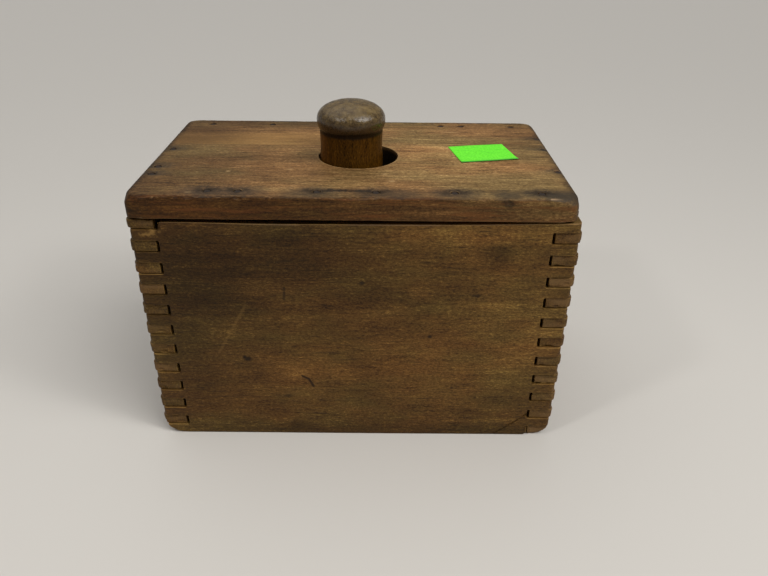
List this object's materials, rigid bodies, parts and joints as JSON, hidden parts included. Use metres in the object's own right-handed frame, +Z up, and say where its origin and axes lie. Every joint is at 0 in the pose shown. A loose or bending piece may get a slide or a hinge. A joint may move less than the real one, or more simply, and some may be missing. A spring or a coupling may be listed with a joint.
{
  "type": "butter mold",
  "caption": "Finger-jointed wooden box mold, open at the bottom, with a nailed top board and a plunger whose turned handle slides through it to press out a block of butter.",
  "frame": {"origin": "centre of the box's mouth, on the surface it stands on", "axes": "+X along the long walls, +Y from the front wall to the back wall, +Z up along the plunger's slide"},
  "size_m": [0.1734, 0.1, 0.1378],
  "materials": {
    "wall_wood": "dark worn hardwood, oiled by use",
    "lid_wood": "tan-brown worn hardwood with iron stains",
    "handle_wood": "turned hardwood, hand-polished knob",
    "plate_wood": "scrubbed bare hardwood",
    "wedge_wood": "split hardwood",
    "nail_iron": "rusted dark iron",
    "sticker_paper": "blank fluorescent green paper"
  },
  "bodies": {
    "box": {"front_wall": "wall_wood", "back_wall": "wall_wood", "left_wall": "wall_wood", "right_wall": "wall_wood", "top_board": "lid_wood", "front_nails": "nail_iron", "back_nails": "nail_iron", "left_nails": "nail_iron", "right_nails": "nail_iron"},
    "plunger": {"handle": "handle_wood", "press_plate": "plate_wood", "handle_wedge": "wedge_wood"}
  },
  "joints": [
    {"name": "plunger_slide", "type": "slide", "parent": "box", "child": "plunger", "axis": [0, 0, 1], "range_m": [-0.012, 0.085]}
  ]
}
